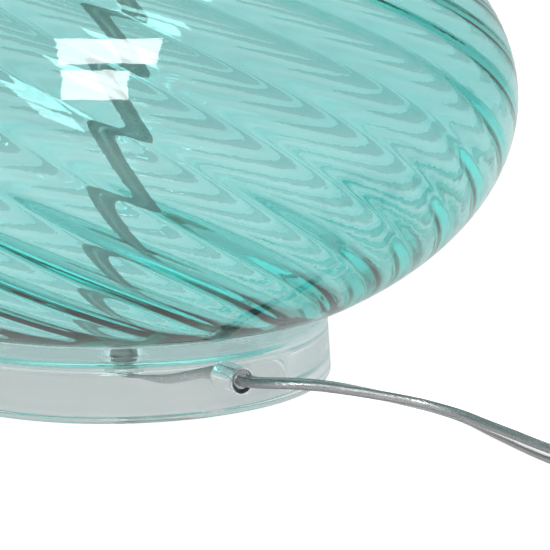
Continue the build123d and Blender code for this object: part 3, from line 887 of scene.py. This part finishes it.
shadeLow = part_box("shade_fabric")[0][2]
linen = linenFinish()
shadeCloth = newPiece("shadeCloth", shadeClothMesh(shadeLow), linen, "shade")
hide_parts("shade_fabric")
hemShare = shade["hem"] / shade["height"]
for hemName, hemStart in (("shadeHemLow", 0.0), ("shadeHemTop", 1 - hemShare)):
    hemMesh = shadeHemMesh(hemName, shadeLow, hemStart, hemStart + hemShare)
    newPiece(hemName, hemMesh, linen, "shade")

# finishes of the metal, moulded and frosted parts

metalFinishes = {
    "satin_aluminium": {
        "grain": 900.0, "rings": 9000.0, "dust": 0.05, "colour": (0.80, 0.83, 0.86),
        "dark": (0.66, 0.69, 0.72),
        "worn": (0.92, 0.93, 0.94), "metallic": 1.0, "roughness": (0.18, 0.36), "relief": 0.00002,
    },
    "zinc_steel": {
        "grain": 600.0, "rings": 5000.0, "dust": 0.08, "colour": (0.72, 0.72, 0.70),
        "dark": (0.52, 0.53, 0.53),
        "worn": (0.84, 0.82, 0.78), "metallic": 1.0, "roughness": (0.22, 0.42), "relief": 0.00003,
    },
    "grey_pipe": {
        "grain": 900.0, "rings": 1500.0, "dust": 0.0, "colour": (0.36, 0.38, 0.36),
        "dark": (0.28, 0.30, 0.29),
        "worn": (0.45, 0.46, 0.44), "metallic": 0.55, "roughness": (0.26, 0.36), "relief": 0.00003,
        "pitch": 0.00094, "threadShare": 2.0,
    },
    "polished_nickel": {
        "grain": 220.0, "rings": 7000.0, "dust": 0.12, "colour": (0.80, 0.78, 0.74),
        "dark": (0.70, 0.68, 0.64),
        "worn": (0.86, 0.80, 0.66), "metallic": 1.0, "roughness": (0.07, 0.18), "relief": 0.000012,
    },
    "brass": {
        "grain": 500.0, "rings": 6000.0, "dust": 0.05, "colour": (0.78, 0.58, 0.28),
        "dark": (0.58, 0.40, 0.18),
        "worn": (0.90, 0.74, 0.42), "metallic": 1.0, "roughness": (0.18, 0.36), "relief": 0.00002,
    },
    "screw_aluminium": {
        "grain": 500.0, "rings": 4000.0, "dust": 0.03, "colour": (0.78, 0.78, 0.78),
        "dark": (0.60, 0.60, 0.61),
        "worn": (0.90, 0.90, 0.90), "metallic": 1.0, "roughness": (0.20, 0.38), "relief": 0.0005,
        "pitch": 0.0036, "threadShare": 1.0,
    },
    "shade_wire": {
        "grain": 700.0, "rings": 800.0, "dust": 0.15, "colour": (0.80, 0.79, 0.76),
        "dark": (0.66, 0.65, 0.62),
        "worn": (0.50, 0.48, 0.45), "metallic": 0.2, "roughness": (0.30, 0.48), "relief": 0.00004,
    },
}
mouldedFinishes = {
    "clear_silicone": {
        "grain": 1200.0, "mottle": 60.0, "dust": 0.05, "colour": (0.86, 0.84, 0.85),
        "dark": (0.78, 0.76, 0.77),
        "worn": (0.9, 0.88, 0.88), "roughness": (0.04, 0.12), "relief": 0.00002, "clear": 0.97, "ior": 1.41,
    },
    "black_phenolic": {
        "grain": 1500.0, "mottle": 120.0, "dust": 0.08, "colour": (0.030, 0.028, 0.027),
        "dark": (0.014, 0.013, 0.013), "worn": (0.09, 0.085, 0.08),
        "roughness": (0.18, 0.34), "relief": 0.00003,
    },
    "fibre_paper": {
        "grain": 900.0, "mottle": 90.0, "dust": 0.05, "colour": (0.40, 0.32, 0.22),
        "dark": (0.28, 0.21, 0.14),
        "worn": (0.52, 0.44, 0.32), "roughness": (0.70, 0.90), "relief": 0.00012,
    },
    "shade_styrene": {
        "grain": 800.0, "mottle": 25.0, "dust": 0.05, "colour": (0.88, 0.87, 0.84),
        "dark": (0.82, 0.81, 0.77),
        # the liner's glow is painted light: the styrene gives off light though it is no lamp
        "worn": (0.9, 0.9, 0.88), "roughness": (0.32, 0.50), "relief": 0.00004, "glow": 0.15,
    },
    "frosted_glass": {
        "grain": 3000.0, "mottle": 40.0, "dust": 0.12, "colour": (0.93, 0.93, 0.92),
        "dark": (0.88, 0.88, 0.87),
        "worn": (0.95, 0.95, 0.95), "roughness": (0.25, 0.40), "relief": 0.00002, "clear": 0.25,
    },
}
plugFinish = {
    "grain": 1100.0, "mottle": 70.0, "dust": 0.08, "colour": (0.74, 0.77, 0.76), "dark": (0.66, 0.70, 0.69),
    "worn": (0.82, 0.84, 0.83), "roughness": (0.14, 0.30), "relief": 0.00005, "clear": 0.35, "ior": 1.53,
}
slotMaterials = {
    "teal_glass": tealGlass, "clear_acrylic": clearAcrylic, "clear_pvc": pvcMaterial, "shade_linen": linen,
}
for slotName, finish in metalFinishes.items():
    slotMaterials[slotName] = metalFinish(slotName, finish)
for slotName, finish in mouldedFinishes.items():
    slotMaterials[slotName] = mouldedFinish(slotName, finish)
plugMaterial = mouldedFinish("mouldedPlug", plugFinish)
for subpart in frame["record"]["subparts"]:
    cadMesh = nodes[subpart["node"]].data
    cadMesh.materials.clear()
    cadMesh.materials.append(slotMaterials[subpart["material_slot"]])
for plugNode in ("plug_body", "inner_lead"):  # too thick to be drawn as a see-through sleeve
    nodes[plugNode].data.materials[0] = plugMaterial

# floor and light

studio = {
    "backdrop": 1.0,
    "backGlow": 0.56,
    "frontGlow": 0.38,
    "floorGlow": 0.42,
    "floorSeen": 0.9,
    "floorTone": 0.5,
    "floorHalf": 4.0,
    "floorRoughness": 0.8,
    "brightening": (-0.9, 0.2),  # between these, from front to back, frontGlow turns into backGlow
    "boxDistance": 1.4,
    "boxAim": (0.0, 0.0, 0.12),
    "boxGlow": 14.0,
    # name, degrees round from the front, degrees up, width, height
    "boxes": (("frontWindowHigh", -3.0, 50.0, 0.58, 0.62), ("frontWindowLow", -6.5, 26.0, 0.40, 0.40)),
    "bounces": 40,
}


def glowWhenSeen(tree, given, seen):
    # what gives off a soft light looks plain white itself
    isCamera = addNode(tree, "ShaderNodeLightPath").outputs["Is Camera Ray"]
    return mapRange(tree, isCamera, 0.0, 1.0, given, seen)


def addStudio():
    world = bpy.data.worlds.new("studio")
    scene.world = world
    world.use_nodes = True
    tree = world.node_tree
    ground = tree.nodes["Background"]
    ground.inputs["Color"].default_value = (1, 1, 1, 1)
    place = addNode(tree, "ShaderNodeTexCoord")
    split = addNode(tree, "ShaderNodeSeparateXYZ")
    tree.links.new(place.outputs["Generated"], split.inputs[0])
    front, back = studio["brightening"]
    glow = addNode(tree, "ShaderNodeMapRange", {"interpolation_type": "SMOOTHSTEP"}, {
        "From Min": front, "From Max": back, "To Min": studio["frontGlow"], "To Max": studio["backGlow"]})
    tree.links.new(split.outputs["Y"], glow.inputs["Value"])
    strength = glowWhenSeen(tree, glow.outputs["Result"], studio["backdrop"])
    tree.links.new(strength, ground.inputs["Strength"])


def addFloor():
    # a lit white table
    mesh = bpy.data.meshes.new("floor")
    half = studio["floorHalf"]
    corners = [(-half, -half, 0), (half, -half, 0), (half, half, 0), (-half, half, 0)]
    mesh.from_pydata(corners, [], [(0, 1, 2, 3)])
    floor = bpy.data.objects.new("floor", mesh)
    scene.collection.objects.link(floor)
    material, tree, shader = newMaterial("lightTable")
    shader.inputs["Base Color"].default_value = (studio["floorTone"],) * 3 + (1,)
    shader.inputs["Roughness"].default_value = studio["floorRoughness"]
    shader.inputs["Specular IOR Level"].default_value = 0.0
    shader.inputs["Emission Color"].default_value = (1, 1, 1, 1)
    strength = glowWhenSeen(tree, studio["floorGlow"], studio["floorSeen"])
    tree.links.new(strength, shader.inputs["Emission Strength"])
    mesh.materials.append(material)


def addSoftboxes():
    for name, around, up, width, height in studio["boxes"]:
        lamp = bpy.data.lights.new(name, "AREA")
        lamp.shape, lamp.size, lamp.size_y = "RECTANGLE", width, height
        lamp.energy = studio["boxGlow"] * width * height * math.pi
        holder = bpy.data.objects.new(name, lamp)
        a, e = math.radians(around), math.radians(up)
        way = Vector((math.sin(a) * math.cos(e), -math.cos(a) * math.cos(e), math.sin(e)))
        holder.location = way * studio["boxDistance"] + Vector(studio["boxAim"])
        holder.rotation_euler = way.to_track_quat("Z", "Y").to_euler()
        scene.collection.objects.link(holder)


addStudio()
addFloor()
addSoftboxes()
scene.view_settings.view_transform = "Standard"
scene.cycles.max_bounces = studio["bounces"]
scene.cycles.transmission_bounces = studio["bounces"]
scene.cycles.glossy_bounces = studio["bounces"] // 2
scene.cycles.transparent_max_bounces = studio["bounces"]
print("floor and light placed")
